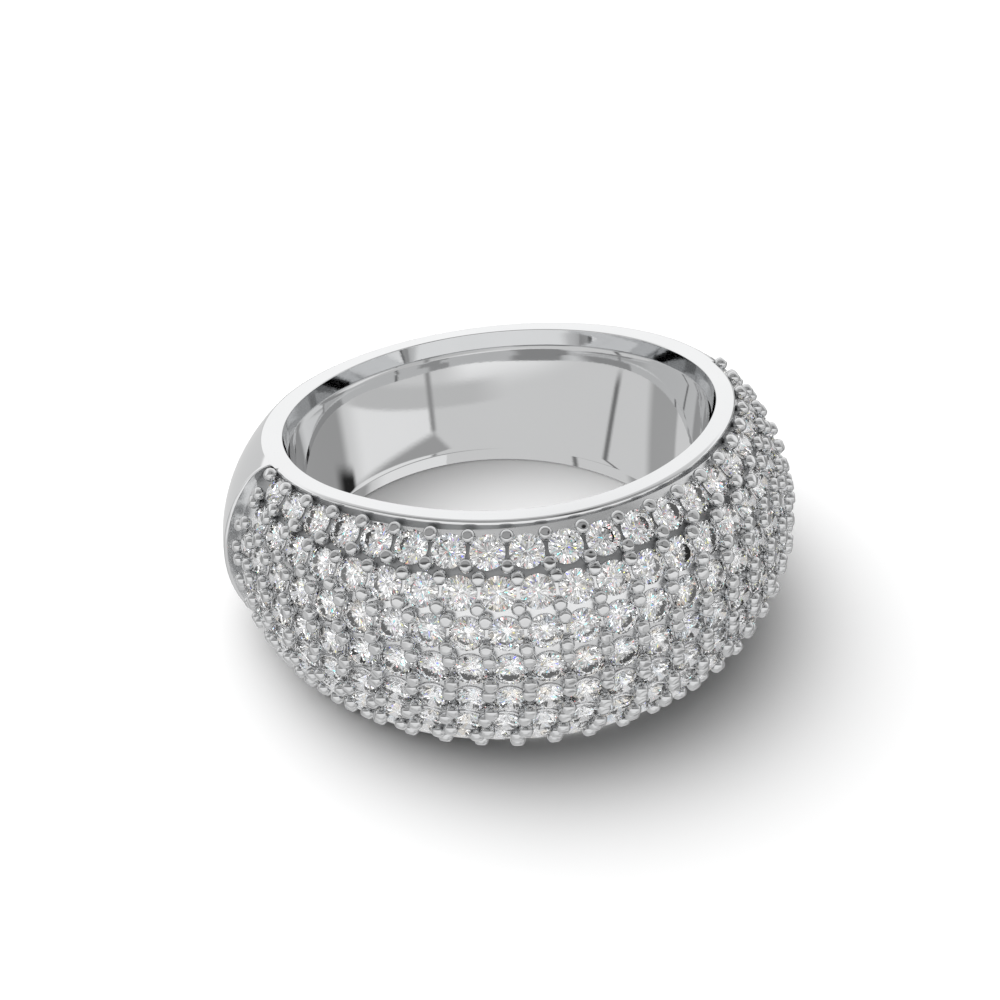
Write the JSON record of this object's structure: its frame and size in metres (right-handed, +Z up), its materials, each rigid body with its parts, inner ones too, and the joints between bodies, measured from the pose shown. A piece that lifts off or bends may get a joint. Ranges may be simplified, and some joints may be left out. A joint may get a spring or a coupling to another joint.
{
  "type": "dome ring",
  "caption": "Wide domed finger ring of polished white metal, its front covered with rows of small round clear stones held by ball prongs.",
  "frame": {"origin": "on the floor under the middle of the ring's bounding box, the ring lying on its side", "axes": "+Z up from the floor, about along the finger hole; -Y towards the middle of the dome; +X to the dome's side"},
  "size_m": [0.0236, 0.0228, 0.0106],
  "materials": {
    "white_metal": "mirror polished cast white metal",
    "clear_stone": "clear faceted round stones"
  },
  "bodies": {
    "root": {"band": "white_metal", "stones": "clear_stone"}
  },
  "joints": []
}
